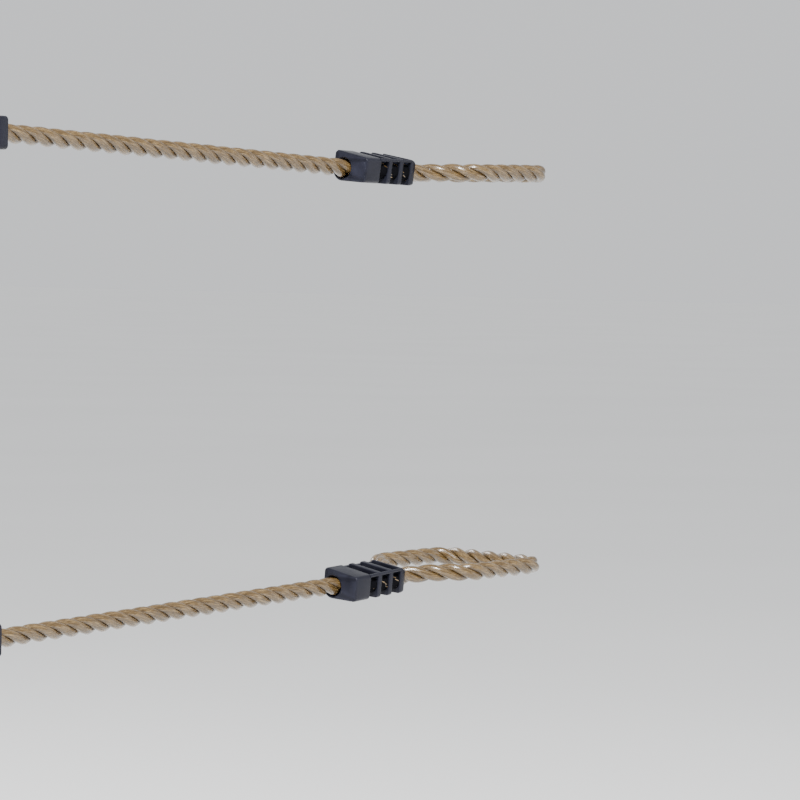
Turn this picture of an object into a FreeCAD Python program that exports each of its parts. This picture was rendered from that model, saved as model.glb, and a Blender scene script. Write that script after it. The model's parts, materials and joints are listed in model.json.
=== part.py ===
import FreeCAD, Part
import math
import os

# A cargo climbing net of 12 mm laid rope, stretched between two square posts. X runs along the
# rows from the left-hand post to the right-hand one, -Y is the climbers' side and +Z is up. The
# origin is the middle of the right-hand post at the top row's loop. Sizes are in millimetres.

SIZES = {
    # the posts that the net is made for
    "post_side": 70, "post_edge": 5,
    # rope, the room round it in a moulding, and the gap where one piece swings on the next
    "rope_diameter": 12, "seat_clearance": 0.05, "pivot_gap": 0.3,
    # the grid: rows, columns, and the first column's distance from its post's axis
    "row_pitch": 300, "column_pitch": 250, "leg_reach": 480, "cross_gap": 1,
    # the clamps: pitch down the post, distance of each from the post's face, and how far the
    # net's weight lowers the grid below them
    "clamp_pitch": 271, "panel_drop": 1.65,
    "clamp_stand_top": 66, "clamp_stand_upper": 64.5,
    "clamp_stand_lower": 68, "clamp_stand_bottom": 66,
    # how far each clamp's shell is rolled round its ropes, near side down
    "clamp_roll_top": 8, "clamp_roll_upper": 9, "clamp_roll_lower": 9, "clamp_roll_bottom": 8,
    # how each loop lies on its post: height above its clamp, slope along X, slope along Y
    "loop_rise_top": -6, "loop_rise_upper": 0.8, "loop_rise_lower": 7.1, "loop_rise_bottom": 6,
    "loop_slope_top": 0, "loop_slope_upper": 1, "loop_slope_lower": 1.1, "loop_slope_bottom": 0,
    "loop_lean_top": 0, "loop_lean_upper": 0, "loop_lean_lower": 1.4, "loop_lean_bottom": 0,
    "exit_bend": 14, "exit_lead": 7,
    # a clamp: a ribbed sleeve moulded over two runs of rope lying side by side
    "clamp_length": 54, "clamp_taper": 1.2, "near_wall": 1.4, "far_wall": 2, "cap_wall": 3,
    "crown_at_mouth": 0.6, "crown_at_post": 2.2,
    "channel_web": 0.6, "collar_length": 15.6, "end_rib": 6.8, "rib_width": 4, "rail_width": 2.4,
    "sleeve_wall": 0.85, "tail_cover": 4, "tail_length": 28, "tail_room": 1.8,
    # a block: the moulding where a row rope and a column rope cross
    "block_length": 60, "arm_side_wall": 4, "arm_face_wall": 3, "hub_wall": 11,
    "block_end_wall": 6,
}

ROWS = ["top", "upper", "lower", "bottom"]
COLUMNS = [1, 2, 3, 4]
SIDES = ["right", "left"]
SLOTS = 3

doc = FreeCAD.newDocument("cargo_net")
sheet = doc.addObject("Spreadsheet::Sheet", "Sizes")
for line, (word, value) in enumerate(SIZES.items(), start=1):
    sheet.set("A%d" % line, word)
    sheet.set("B%d" % line, str(value))
    sheet.setAlias("B%d" % line, word)
doc.recompute()

nodes = []


def size(word):
    """The value of one cell of the sheet."""
    return float(sheet.get(word))


def cell(text):
    """An expression in which every word of the sheet is written as a reference to its cell."""
    for word in sorted(SIZES, key=len, reverse=True):
        text = text.replace(word, "@" + str(list(SIZES).index(word)) + "@")
    for index, word in enumerate(SIZES):
        text = text.replace("@%d@" % index, "Sizes." + word)
    return text


def value(text):
    """What an expression comes to, for what is shaped in code."""
    return float(sheet.evalExpression(cell(text)))


def bind(thing, **expressions):
    """Tie properties to expressions; x, y and z are the place, and turn is the angle of rotation."""
    paths = {"x": "Placement.Base.x", "y": "Placement.Base.y", "z": "Placement.Base.z",
             "turn": "Placement.Rotation.Angle"}
    for key, text in expressions.items():
        thing.setExpression(paths.get(key, key), cell(text))
    return thing


def box(name, x, y, z, length, width, height):
    """A box from its low corner and its three sizes."""
    made = doc.addObject("Part::Box", name)
    return bind(made, x=x, y=y, z=z, Length=length, Width=width, Height=height)


def bar(name, x, y, z, radius, length, axis):
    """A round bar that starts at a point and runs along +X or +Z."""
    made = doc.addObject("Part::Cylinder", name)
    if axis == "X":
        made.Placement.Rotation = FreeCAD.Rotation(FreeCAD.Vector(0, 1, 0), 90)
    return bind(made, x=x, y=y, z=z, Radius=radius, Height=length)


def joined(name, pieces):
    """Several pieces fused into one."""
    made = doc.addObject("Part::MultiFuse", name)
    made.Shapes = pieces
    return made


def cut(name, base, tool):
    """One piece with another taken away."""
    made = doc.addObject("Part::Cut", name)
    made.Base, made.Tool = base, tool
    return made


def finished(thing, label, **place):
    """Name a sub-part and put it where it belongs."""
    thing.Label = label
    if "turn" in place:
        thing.Placement.Rotation = FreeCAD.Rotation(FreeCAD.Vector(0, 1, 0), 1)
    bind(thing, **place)
    nodes.append(thing)
    return thing


# ---- where things are ---------------------------------------------------------------------

CHANNEL_PITCH = "(rope_diameter+channel_web)"
CLAMP_NEAR = "(%s+rope_diameter/2+near_wall)" % CHANNEL_PITCH
CLAMP_FAR = "(rope_diameter/2+far_wall)"
CLAMP_HEIGHT = "(rope_diameter+2*cap_wall)"
SLOT_WIDTH = "((clamp_length-collar_length-end_rib-%d*rib_width)/%d)" % (SLOTS - 1, SLOTS)
COLUMN_OFFSET = "(rope_diameter+cross_gap)"
ARM_WIDTH = "(rope_diameter+2*arm_side_wall)"
ARM_DEPTH = "(rope_diameter+2*arm_face_wall)"
HUB_SIDE = "(rope_diameter+2*hub_wall)"
HALF_SPAN = "(leg_reach+column_pitch*%g)" % ((len(COLUMNS) - 1) / 2)
PIVOT_STEP = "(rope_diameter/2+pivot_gap)"
LONGEST_STAND = "max(%s)" % "; ".join("clamp_stand_" + row for row in ROWS)
POST_PIVOT = "(post_side/2+%s+clamp_length/2+%s)" % (LONGEST_STAND, PIVOT_STEP)
GRID_PIVOT = "(leg_reach-block_length/2-%s)" % PIVOT_STEP


def clamp_level(row):
    """Height of a row's rope at the middle of its clamps."""
    return "(-loop_rise_top-clamp_pitch*%d)" % ROWS.index(row)


def row_level(row):
    """Height of a row's rope in the grid."""
    middle = (len(ROWS) - 1) / 2
    steps = middle - ROWS.index(row)
    return "(-loop_rise_top-clamp_pitch*%g-panel_drop+row_pitch*%g)" % (middle, steps)


def clamp_reach(row):
    """Distance from the post's axis to the middle of a clamp."""
    return "(post_side/2+clamp_stand_%s)" % row


def leg_run(row):
    """Level distance from the middle of a clamp to the grid's first pivot."""
    return "(%s-%s)" % (GRID_PIVOT, clamp_reach(row))


def leg_rise(row):
    """Height that a leg gains over that distance."""
    return "(%s-%s)" % (row_level(row), clamp_level(row))


def leg_slope(row):
    """Angle that a leg climbs at, from its clamp to the grid."""
    return "atan(%s/%s)" % (leg_rise(row), leg_run(row))


def column_x(column):
    """Place of a column's rope along the rows."""
    return "(-leg_reach-column_pitch*%d)" % COLUMNS.index(column)


# ---- loops round the posts ----------------------------------------------------------------


def rounded_wire(points, radii):
    """Straight runs through points, joined at the inner ones by tangent arcs."""
    edges = []
    start = points[0]
    for before, corner, after, radius in zip(points, points[1:], points[2:], radii):
        into = (corner - before).normalize()
        out = (after - corner).normalize()
        turn = into.getAngle(out)
        setback = radius * math.tan(turn / 2)
        first, last = corner - into * setback, corner + out * setback
        inward = (out - into).normalize()
        middle = corner + inward * (radius / math.cos(turn / 2) - radius)
        edges.append(Part.LineSegment(start, first).toShape())
        edges.append(Part.Arc(first, middle, last).toShape())
        start = last
    edges.append(Part.LineSegment(start, points[-1]).toShape())
    return Part.Wire(edges)


def corner_vertex(exit_x, exit_y, side):
    """Where a run from a clamp to the post's near corner meets the line of the post's face."""
    radius = size("post_edge") + size("rope_diameter") / 2
    centre = size("post_side") / 2 - size("post_edge")
    face = centre + radius
    along, across = -centre - exit_x, centre - side * exit_y
    angle = math.atan2(across, along) + math.asin(radius / math.hypot(along, across))
    return exit_x + (face - side * exit_y) / math.tan(angle), side * face


def loop_points(row, side):
    """Corners of a loop's centreline, from one channel of its clamp round the post to the other."""
    reach, length = value(clamp_reach(row)), size("clamp_length")
    level, slope = value(clamp_level(row)), math.radians(value(leg_slope(row)))
    step, pivot = value(PIVOT_STEP), -value(POST_PIVOT)
    channel = value(CHANNEL_PITCH)

    def in_clamp(along, across):
        """A point in the clamp's own directions, which lean with the leg."""
        return FreeCAD.Vector(-reach + along * math.cos(slope), across,
                              level - along * math.sin(slope))

    def on_post(x, y):
        """A point of the loop's own leaning plane."""
        rise = size("loop_rise_" + row)
        rise += x * math.tan(math.radians(size("loop_slope_" + row)))
        rise += y * math.tan(math.radians(size("loop_lean_" + row)))
        return FreeCAD.Vector(x, y, level + rise)

    face = (size("post_side") + size("rope_diameter")) / 2
    far_start = (pivot + reach) / math.cos(slope) + step
    if side == "left":
        far_start = -length / 2 + size("tail_length") + step
    near_end = -length / 2 + size("tail_cover")
    lead = length / 2 + size("exit_lead")
    far_exit, near_exit = in_clamp(lead, 0), in_clamp(lead, -channel)
    return [in_clamp(far_start, 0), far_exit,
            on_post(*corner_vertex(far_exit.x, far_exit.y, 1)),
            on_post(face, face), on_post(face, -face),
            on_post(*corner_vertex(near_exit.x, near_exit.y, -1)),
            near_exit, in_clamp(near_end, -channel)]


def loop(row, side):
    """A row rope's end, taken round the post and back beside itself into its clamp."""
    points = loop_points(row, side)
    bend, corner = size("exit_bend"), size("post_edge") + size("rope_diameter") / 2
    path = rounded_wire(points, [bend, corner, corner, corner, corner, bend])
    section = Part.Circle(points[0], points[1] - points[0], size("rope_diameter") / 2)
    shape = path.makePipeShell([Part.Wire(section.toShape())], True, False)
    expected = path.Length * math.pi * (size("rope_diameter") / 2) ** 2
    if abs(shape.Volume / expected - 1) > 0.01:
        raise SystemExit("the %s %s loop's volume is off: %g for %g"
                         % (side, row, shape.Volume, expected))
    if side == "left":
        shape = shape.mirror(FreeCAD.Vector(0, 0, 0), FreeCAD.Vector(1, 0, 0))
    made = doc.addObject("Part::Feature", "%s_loop_%s" % (side, row))
    made.Shape = shape
    offset = "0" if side == "right" else "-2*%s" % HALF_SPAN
    return finished(made, "%s_loop_%s" % (side, row), x=offset)


# ---- clamps -------------------------------------------------------------------------------


def clamp(row, side):
    """A clamp: collar, ribs and a rail round two sleeves, with a channel for each run of rope.

    Its own X runs from the mouth, where the leg comes in, to the end that faces the post. Its
    crowned top is its own +Z at the right-hand post, and -Z at the other.
    """
    name = "%s_clamp_%s" % (side, row)
    half_height = CLAMP_HEIGHT + "/2"
    tall = "(%s+crown_at_post)" % half_height
    crowned = half_height + "+crown_at_mouth", tall
    plain = half_height, half_height + "-clamp_taper"
    over, under = (crowned, plain) if side == "right" else (plain, crowned)
    shell = doc.addObject("Part::Wedge", name + "_shell")
    shell.Placement.Rotation = FreeCAD.Rotation(FreeCAD.Vector(0, 0, 1), -90)
    bind(shell, x="-clamp_length/2", Ymin="0", Ymax="clamp_length",
         Xmin="-" + CLAMP_FAR, Xmax=CLAMP_NEAR, Zmin="-(%s)" % under[0], Zmax=over[0],
         X2min="clamp_taper-" + CLAMP_FAR, X2max=CLAMP_NEAR + "-clamp_taper",
         Z2min="-(%s)" % under[1], Z2max=over[1])
    near_low = "-" + tall if side == "right" else "rail_width-" + tall
    windows = []
    for slot in range(SLOTS):
        start = "-clamp_length/2+collar_length+(%s+rib_width)*%d" % (SLOT_WIDTH, slot)
        for face, low in (("top", "rail_width"), ("bottom", "-" + tall)):
            windows.append(box("%s_%s_%d" % (name, face, slot),
                               start, "rail_width-" + CLAMP_NEAR, low, SLOT_WIDTH,
                               "%s+%s-rail_width" % (CLAMP_NEAR, CLAMP_FAR),
                               tall + "-rail_width"))
        windows.append(box("%s_near_%d" % (name, slot), start, "-" + CLAMP_NEAR, near_low,
                           SLOT_WIDTH, "rail_width*2", "2*%s-rail_width" % tall))
        windows.append(box("%s_far_%d" % (name, slot), start, CLAMP_FAR + "-rail_width*2",
                           "-" + tall, SLOT_WIDTH, "rail_width*2", "2*" + tall))
    ribbed = cut(name + "_ribbed", shell, joined(name + "_windows", windows))
    ribbed.Placement.Rotation = FreeCAD.Rotation(FreeCAD.Vector(1, 0, 0), 1)
    middle = "((%s-%s)/2)" % (CLAMP_FAR, CLAMP_NEAR)
    roll = "clamp_roll_%s*%d deg" % (row, 1 if side == "right" else -1)
    bind(ribbed, y="%s*(1-cos(%s))" % (middle, roll), z="-%s*sin(%s)" % (middle, roll), turn=roll)
    radius = "rope_diameter/2+seat_clearance"
    sleeves = [bar("%s_sleeve_%s" % (name, which), "-clamp_length/2+rib_width", y, "0",
                   radius + "+sleeve_wall", "clamp_length-2*rib_width", "X")
               for which, y in (("main", "0"), ("return", "-" + CHANNEL_PITCH))]
    body = joined(name + "_body", [ribbed] + sleeves)
    channels = [bar(name + "_main_channel", "-clamp_length", "0", "0", radius,
                    "clamp_length*2", "X"),
                bar(name + "_return_channel", "-clamp_length/2+tail_cover",
                    "-" + CHANNEL_PITCH, "0", radius, "clamp_length", "X")]
    made = cut(name, body, joined(name + "_channels", channels))
    if side == "right":
        return finished(made, name, x="-" + clamp_reach(row), z=clamp_level(row),
                        turn=leg_slope(row))
    return finished(made, name, x="-2*%s+%s" % (HALF_SPAN, clamp_reach(row)),
                    z=clamp_level(row), turn="180 deg-" + leg_slope(row))


# ---- ropes between the moulded pieces -------------------------------------------------------


def rope(name, length, ball_low, ball_high):
    """A straight rope along its own Z, with a ball end where the next piece swings on it."""
    radius = "rope_diameter/2"
    pieces = [bar(name + "_run", "0", "0", "0", radius, length, "Z")]
    for wanted, end, place, low, high in ((ball_low, "low", "0", -90, 0),
                                          (ball_high, "high", length, 0, 90)):
        if wanted:
            ball = doc.addObject("Part::Sphere", "%s_ball_%s" % (name, end))
            ball.Angle1, ball.Angle2 = low, high
            pieces.append(bind(ball, z=place, Radius=radius))
    return joined(name, pieces) if len(pieces) > 1 else pieces[0]


def leg(row, side):
    """The rope between the clamps' pivot line and the grid's."""
    name, slope = "%s_leg_rope_%s" % (side, row), leg_slope(row)
    made = rope(name, "(%s-%s)/cos(%s)" % (GRID_PIVOT, POST_PIVOT, slope), True, True)
    level = "%s+(%s-%s)*tan(%s)" % (clamp_level(row), POST_PIVOT, clamp_reach(row), slope)
    if side == "right":
        return finished(made, name, x="-" + POST_PIVOT, z=level, turn=slope + "-90 deg")
    return finished(made, name, x="-2*%s+%s" % (HALF_SPAN, POST_PIVOT), z=level,
                    turn="90 deg-" + slope)


def bay(row, number):
    """A row rope through its block or blocks and across one bay, counted from the right."""
    name = "row_rope_%s_%d" % (row, number)
    right_face, left_face = "+block_length/2", "-block_length/2"
    starts = {1: right_face, 2: right_face, 3: left_face + "-" + PIVOT_STEP}
    ends = {1: right_face + "+" + PIVOT_STEP, 2: left_face, 3: left_face}
    start = column_x(number) + starts[number]
    length = "(%s)-(%s)" % (start, column_x(number + 1) + ends[number])
    made = rope(name, length, number == 3, number == 1)
    return finished(made, name, x=start, z=row_level(row), turn="-90 deg")


def column_rope(column):
    """A rope down the grid behind the rows, from the top block to the bottom one."""
    name = "column_rope_%d" % column
    past = "(%s/2-block_end_wall)" % HUB_SIDE
    made = rope(name, "%s-%s+2*%s" % (row_level("top"), row_level("bottom"), past), False, False)
    return finished(made, name, x=column_x(column), y=COLUMN_OFFSET,
                    z="%s-%s" % (row_level("bottom"), past))


def tails():
    """The ends of the left-hand legs, each a slack plug in its clamp's main channel."""
    pieces = []
    for row in ROWS:
        slope, inside = leg_slope(row), "(clamp_length/2-tail_length)"
        outside = "(%s-%s)/cos(%s)-clamp_length/2-%s" % (POST_PIVOT, clamp_reach(row), slope,
                                                        PIVOT_STEP)
        made = bar("left_tail_" + row,
                   "-2*%s+%s+%s*cos(%s)" % (HALF_SPAN, clamp_reach(row), inside, slope), "0",
                   "%s+%s*sin(%s)" % (clamp_level(row), inside, slope),
                   "rope_diameter/2-tail_room", "tail_length+" + outside, "X")
        pieces.append(bind(made, turn="90 deg-" + slope))
    made = doc.addObject("Part::Compound", "left_rope_tails")
    made.Links = pieces
    return finished(made, "left_rope_tails")


# ---- blocks at the crossings ----------------------------------------------------------------


def block(row, column):
    """The moulding at a crossing: a hub, an arm along the row and one or two down the column."""
    name = "cross_block_%s_%d" % (row, column)
    up, down = row != ROWS[0], row != ROWS[-1]
    half_hub, half_depth, half_width = HUB_SIDE + "/2", ARM_DEPTH + "/2", ARM_WIDTH + "/2"
    low = "block_length/2" if down else half_hub
    high = "block_length/2" if up else half_hub
    pieces = [box(name + "_row_arm", "-block_length/2", "-" + half_depth, "-" + half_width,
                  "block_length", ARM_DEPTH, ARM_WIDTH),
              box(name + "_column_arm", "-" + half_width, COLUMN_OFFSET + "-" + half_depth,
                  "-" + low, ARM_WIDTH, ARM_DEPTH, low + "+" + high),
              box(name + "_hub", "-" + half_hub, "-" + half_depth, "-" + half_hub,
                  HUB_SIDE, ARM_DEPTH + "+" + COLUMN_OFFSET, HUB_SIDE)]
    radius = "rope_diameter/2+seat_clearance"
    past_low = "block_length" if down else half_hub + "-block_end_wall"
    past_high = "block_length" if up else half_hub + "-block_end_wall"
    seats = [bar(name + "_row_seat", "-block_length", "0", "0", radius, "block_length*2", "X"),
             bar(name + "_column_seat", "0", COLUMN_OFFSET, "-(%s)" % past_low, radius,
                 "%s+%s" % (past_low, past_high), "Z")]
    made = cut(name, joined(name + "_body", pieces), joined(name + "_seats", seats))
    return finished(made, name, x=column_x(column), z=row_level(row))


# ---- the net --------------------------------------------------------------------------------

for side in SIDES:
    for row in ROWS:
        loop(row, side)
        clamp(row, side)
        leg(row, side)
tails()
for row in ROWS:
    for number in COLUMNS[:-1]:
        bay(row, number)
    for column in COLUMNS:
        block(row, column)
for column in COLUMNS:
    column_rope(column)

doc.recompute()

for thing in doc.Objects:
    if "Invalid" in thing.State or "Error" in thing.State:
        raise SystemExit("%s failed: %s" % (thing.Label, thing.State))
for thing in nodes:
    if thing.Shape.isNull() or not thing.Shape.isValid() or thing.Shape.Volume <= 0:
        raise SystemExit("%s has no sound solid" % thing.Label)

os.makedirs("parts", exist_ok=True)
for thing in nodes:
    thing.Shape.exportStep("parts/%s.step" % thing.Label)
print(len(nodes), "parts written")
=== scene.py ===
import json
import logging
import math
from collections.abc import Callable, Iterable, Sequence
from dataclasses import dataclass, field
from enum import Enum

import bmesh
import bpy
from mathutils import Matrix, Vector


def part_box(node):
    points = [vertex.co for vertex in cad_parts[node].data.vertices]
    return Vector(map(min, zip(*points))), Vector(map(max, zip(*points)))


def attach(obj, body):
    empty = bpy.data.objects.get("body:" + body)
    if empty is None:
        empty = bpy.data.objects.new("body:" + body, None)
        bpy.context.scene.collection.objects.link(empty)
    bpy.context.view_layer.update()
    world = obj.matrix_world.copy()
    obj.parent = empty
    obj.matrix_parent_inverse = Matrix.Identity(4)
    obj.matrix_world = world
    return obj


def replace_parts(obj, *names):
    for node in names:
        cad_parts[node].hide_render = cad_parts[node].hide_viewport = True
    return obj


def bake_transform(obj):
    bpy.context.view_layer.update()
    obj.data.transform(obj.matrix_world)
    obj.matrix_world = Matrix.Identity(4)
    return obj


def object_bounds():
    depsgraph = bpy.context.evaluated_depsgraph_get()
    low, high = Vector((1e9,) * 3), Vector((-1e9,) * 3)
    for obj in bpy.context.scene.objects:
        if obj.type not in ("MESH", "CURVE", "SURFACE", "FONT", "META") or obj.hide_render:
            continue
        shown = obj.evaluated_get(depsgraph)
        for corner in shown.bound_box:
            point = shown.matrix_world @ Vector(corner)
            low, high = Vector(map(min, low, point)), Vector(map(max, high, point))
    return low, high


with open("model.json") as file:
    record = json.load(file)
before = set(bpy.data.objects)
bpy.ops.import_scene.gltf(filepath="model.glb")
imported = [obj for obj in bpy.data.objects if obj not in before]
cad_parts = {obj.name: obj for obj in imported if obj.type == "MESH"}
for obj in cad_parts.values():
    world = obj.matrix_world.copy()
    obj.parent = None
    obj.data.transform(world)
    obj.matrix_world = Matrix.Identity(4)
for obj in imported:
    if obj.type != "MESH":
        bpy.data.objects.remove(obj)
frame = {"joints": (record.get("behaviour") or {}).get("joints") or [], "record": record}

CAD_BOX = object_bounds()
MM = 0.001
BLACK, WHITE = (0.0, 0.0, 0.0), (1.0, 1.0, 1.0)

Colour = tuple[float, float, float]

log = logging.getLogger("cargo_net")


class Row(Enum):
    """The net's row ropes, from the top one down."""

    TOP = "top"
    UPPER = "upper"
    LOWER = "lower"
    BOTTOM = "bottom"


class Side(Enum):
    """The two posts, each with the direction along X from the net towards it."""

    RIGHT = 1
    LEFT = -1

    @property
    def word(self) -> str:
        """The side's name, as the frame spells it."""
        return self.name.lower()


class Body(Enum):
    """The frame's bodies, from the right-hand post to the left-hand one."""

    ANCHORS = "anchors"
    RIGHT_LEGS = "right_legs"
    BAY_1 = "bay_1"
    MIDDLE = "middle"
    BAY_3 = "bay_3"
    LEFT_LEGS = "left_legs"
    LEFT_TAILS = "left_tails"


class Part(Enum):
    """The parts of a moulding that have finishes of their own; the inner parts' finish is
    painted shade.
    """

    SHELL = 0
    # painted shade: the sleeves and webs inside get a darker, duller copy of the plastic
    INSIDE = 1


# ---- finishes ------------------------------------------------------------------------------


class ShaderSheet:
    """A material's node tree, with short ways to add and join nodes."""

    # the Mix node's sockets for colours: its factor, its two colours and its result
    MIX_COLOUR_INPUTS = (0, 6, 7)
    MIX_COLOUR_OUTPUT = 2

    def __init__(self, name: str) -> None:
        """Start an empty tree with a Principled BSDF joined to the output.

        Args:
            name: The material's name.
        """
        self.material = bpy.data.materials.new(name)
        self.material.use_nodes = True
        self.tree = self.material.node_tree
        self.tree.nodes.clear()
        output = self.tree.nodes.new("ShaderNodeOutputMaterial")
        self.shader = self.tree.nodes.new("ShaderNodeBsdfPrincipled")
        self.join(self.shader.outputs["BSDF"], output.inputs["Surface"])

    def join(self, start: bpy.types.NodeSocket, end: bpy.types.NodeSocket) -> None:
        """Link one socket to another."""
        self.tree.links.new(start, end)

    def feed(self, socket: bpy.types.NodeSocket, value: object) -> None:
        """Give a socket its value.

        Args:
            socket: The input socket.
            value: An output socket to join to it, or what it is set to.
        """
        if isinstance(value, bpy.types.NodeSocket):
            self.join(value, socket)
        else:
            socket.default_value = value

    def node(self, kind: str, **inputs: object) -> bpy.types.Node:
        """Add a node and fill its inputs.

        Args:
            kind: The node's type, without the leading ShaderNode.
            inputs: Values or output sockets, by input name with spaces as underscores.

        Returns:
            The new node.
        """
        made = self.tree.nodes.new("ShaderNode" + kind)
        for name, value in inputs.items():
            self.feed(made.inputs[name.replace("_", " ")], value)
        return made

    def math(self, operation: str, *values: object) -> bpy.types.NodeSocket:
        """Add a Math node.

        Args:
            operation: The Math node's operation.
            values: One to three numbers or sockets.

        Returns:
            The result's socket.
        """
        made = self.tree.nodes.new("ShaderNodeMath")
        made.operation = operation
        for socket, value in zip(made.inputs, values):
            self.feed(socket, value)
        return made.outputs[0]

    def ramp(
        self, factor: bpy.types.NodeSocket, stops: Sequence[tuple[float, Sequence[float]]]
    ) -> bpy.types.NodeSocket:
        """Add a Color Ramp.

        Args:
            factor: The socket that drives it.
            stops: Pairs of position and RGB colour.

        Returns:
            The colour's socket.
        """
        made = self.node("ValToRGB", Fac=factor)
        elements = made.color_ramp.elements
        while len(elements) < len(stops):
            elements.new(0.5)
        for element, (position, colour) in zip(elements, stops):
            element.position = position
            element.color = (*colour, 1.0)
        return made.outputs["Color"]

    def mixed(self, factor: object, first: object, second: object) -> bpy.types.NodeSocket:
        """Mix two colours.

        Args:
            factor: The share of the second colour, a number or a socket.
            first: The first colour or its socket.
            second: The second colour or its socket.

        Returns:
            The colour's socket.
        """
        made = self.tree.nodes.new("ShaderNodeMix")
        made.data_type = "RGBA"
        for slot, value in zip(self.MIX_COLOUR_INPUTS, (factor, first, second)):
            self.feed(made.inputs[slot], value)
        return made.outputs[self.MIX_COLOUR_OUTPUT]

    def bump(self, height: bpy.types.NodeSocket, strength: float, distance: float) -> None:
        """Give the shader a bump.

        Args:
            height: The socket that holds the height.
            strength: The bump's strength.
            distance: What a height of one stands for, in metres.
        """
        made = self.node("Bump", Height=height, Strength=strength, Distance=distance)
        self.join(made.outputs["Normal"], self.shader.inputs["Normal"])


@dataclass(frozen=True)
class RopeFinish:
    """Glossy split-film polypropylene, spun to look like hemp.

    Attributes:
        groove: The colour painted deep between the strands, as shade.
        olive: The darkest fibres' colour.
        tan: The middle fibres' colour.
        straw: The palest fibres' colour.
        roughness: The roughness about which the fibres vary.
        shine: The specular level.
        coat: The gloss coat's weight and roughness.
        stretch: The pattern's scale along a strand, where a tenth draws it ten times as long.
        fibre_scale: The noise scale of single fibres.
        yarn_scale: The noise scale of whole yarns.
        patch_scale: The noise scale of the dull patches.
        fibre_share: The share of single fibres in the streaks.
        yarn_share: The share of whole yarns in them.
        dulling: How far the patches go towards olive.
        groove_depths: The shares of the rope's radius where the painted shade between the
            strands is full and nil.
        groove_weight: How far the painted shade between the strands covers the fibres.
    """

    # painted shade: the dark brown laid deep between the strands, where shade falls
    groove: Colour = (0.016, 0.007, 0.0015)
    olive: Colour = (0.040, 0.024, 0.006)
    tan: Colour = (0.084, 0.048, 0.015)
    straw: Colour = (0.26, 0.178, 0.080)
    roughness: float = 0.23
    shine: float = 0.55
    coat: tuple[float, float] = (0.22, 0.14)
    stretch: float = 0.10
    fibre_scale: float = 11.0
    yarn_scale: float = 3.6
    patch_scale: float = 55.0
    fibre_share: float = 0.55
    yarn_share: float = 0.45
    dulling: float = 0.45
    groove_depths: tuple[float, float] = (0.47, 0.78)
    groove_weight: float = 0.92

    def material(self) -> bpy.types.Material:
        """Build the material, which reads the strands' own fibre and crown attributes and paints
        shade between the strands by the crown.

        Returns:
            The material.
        """
        sheet = ShaderSheet("laid_rope")
        fibre = sheet.node("Attribute")
        fibre.attribute_name = LaidRope.FIBRE
        crown = sheet.node("Attribute")
        crown.attribute_name = LaidRope.CROWN
        lines = sheet.node("Mapping", Vector=fibre.outputs["Vector"])
        lines.inputs["Scale"].default_value = (1.0, 1.0, self.stretch)
        along = lines.outputs["Vector"]
        fine = sheet.node(
            "TexNoise", Vector=along, Scale=self.fibre_scale, Detail=3.0, Roughness=0.6
        )
        yarn = sheet.node(
            "TexNoise", Vector=along, Scale=self.yarn_scale, Detail=2.0, Roughness=0.5
        )
        place = sheet.node("TexCoord").outputs["Object"]
        patches = sheet.node(
            "TexNoise", Vector=place, Scale=self.patch_scale, Detail=2.0, Roughness=0.5
        )
        streaks = sheet.math(
            "MULTIPLY_ADD", fine.outputs["Fac"], self.fibre_share,
            sheet.math("MULTIPLY", yarn.outputs["Fac"], self.yarn_share),
        )
        colour = sheet.ramp(
            streaks, ((0.34, self.olive), (0.50, self.tan), (0.66, self.straw))
        )
        duller = sheet.mixed(
            sheet.math("MULTIPLY", patches.outputs["Fac"], self.dulling),
            colour, (*self.olive, 1.0),
        )
        # painted shade: the colour darkens towards the painted shade colour where a vertex lies
        # deep between the strands
        full, nil = self.groove_depths
        depth = sheet.ramp(crown.outputs["Fac"], ((full, WHITE), (nil, BLACK)))
        shaded = sheet.mixed(
            sheet.math("MULTIPLY", depth, self.groove_weight), duller, (*self.groove, 1.0)
        )
        sheet.join(shaded, sheet.shader.inputs["Base Color"])
        rough = sheet.node(
            "MapRange", Value=fine.outputs["Fac"], From_Min=0.3, From_Max=0.7,
            To_Min=self.roughness - 0.08, To_Max=self.roughness + 0.12,
        )
        sheet.join(rough.outputs["Result"], sheet.shader.inputs["Roughness"])
        weight, coat_roughness = self.coat
        sheet.shader.inputs["Specular IOR Level"].default_value = self.shine
        sheet.shader.inputs["Coat Weight"].default_value = weight
        sheet.shader.inputs["Coat Roughness"].default_value = coat_roughness
        sheet.bump(streaks, strength=0.32, distance=0.0006)
        return sheet.material


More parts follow.
